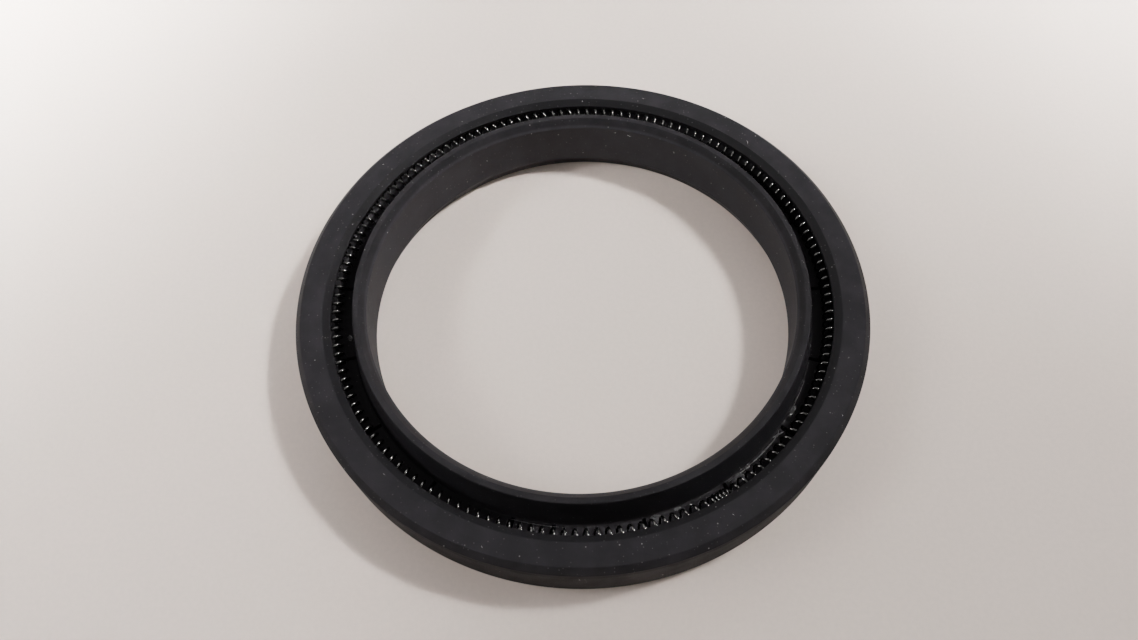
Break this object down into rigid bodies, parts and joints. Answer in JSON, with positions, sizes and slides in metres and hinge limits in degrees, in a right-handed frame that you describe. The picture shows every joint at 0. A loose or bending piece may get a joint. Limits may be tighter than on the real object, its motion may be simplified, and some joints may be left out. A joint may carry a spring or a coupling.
{
  "type": "radial shaft seal",
  "caption": "Rubber ring seal with a thin inner wall that grips a shaft, a thick outer sealing lip and an open groove holding a coil expander spring.",
  "frame": {"origin": "centre of the back face, on the seal's axis", "axes": "+Z along the axis of the bore, out of the open groove; +X and +Y across the seal, with the spring's joint about 300 degrees round from +X"},
  "size_m": [0.06, 0.06, 0.008],
  "materials": {
    "rubber": "matte, fine-grained moulded rubber",
    "ring_steel": "phosphated sheet",
    "spring_wire": "drawn wire, bright"
  },
  "bodies": {
    "root": {"seal_body": "rubber", "stiffening_ring": "ring_steel", "expander_spring": "spring_wire"}
  },
  "joints": []
}
